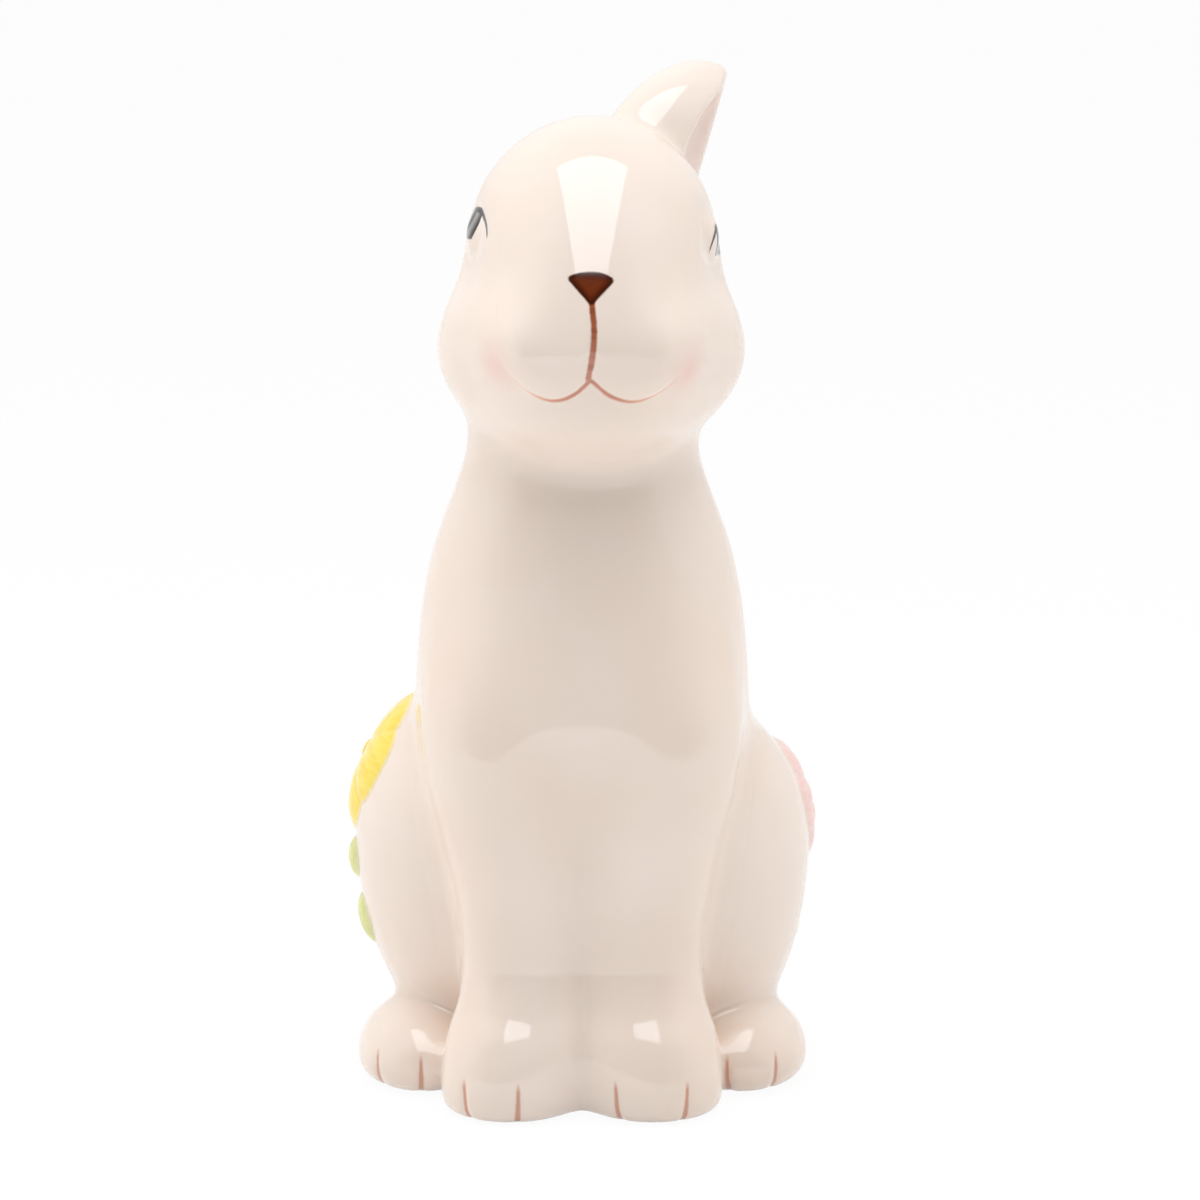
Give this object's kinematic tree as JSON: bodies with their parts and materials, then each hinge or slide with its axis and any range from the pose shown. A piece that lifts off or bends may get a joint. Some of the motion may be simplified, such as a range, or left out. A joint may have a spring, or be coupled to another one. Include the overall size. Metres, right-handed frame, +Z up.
{
  "type": "rabbit figurine",
  "caption": "Seated rabbit figurine of glazed earthenware, hollow cast, one ear raised and one laid back, with relief flower sprigs on its haunches; stands on a flat foot.",
  "frame": {"origin": "middle of the footprint on the surface that the figurine stands on", "axes": "+Z up, the rabbit faces -Y, its left side is +X"},
  "size_m": [0.0939, 0.0922, 0.1996],
  "materials": {
    "cream_glaze": "glossy clear glaze over cream earthenware",
    "raw_clay": "unglazed fired clay",
    "yellow_glaze": "brushed yellow underglaze, glossy",
    "amber_glaze": "brushed amber underglaze, glossy",
    "pink_glaze": "brushed pale pink underglaze, glossy",
    "green_glaze": "brushed pale green underglaze, glossy"
  },
  "bodies": {
    "root": {"body_casting": "cream_glaze", "base_plate": "raw_clay", "head_casting": "cream_glaze", "left_ear": "cream_glaze", "right_ear": "cream_glaze", "left_foreleg": "cream_glaze", "right_foreleg": "cream_glaze", "left_hind_paw": "cream_glaze", "right_hind_paw": "cream_glaze", "tail": "cream_glaze", "yellow_flower": "yellow_glaze", "yellow_flower_centre": "amber_glaze", "yellow_flower_upper_leaf": "green_glaze", "yellow_flower_lower_leaf": "green_glaze", "pink_flower": "pink_glaze", "pink_flower_centre": "yellow_glaze", "pink_flower_upper_leaf": "green_glaze", "pink_flower_lower_leaf": "green_glaze"}
  },
  "joints": []
}
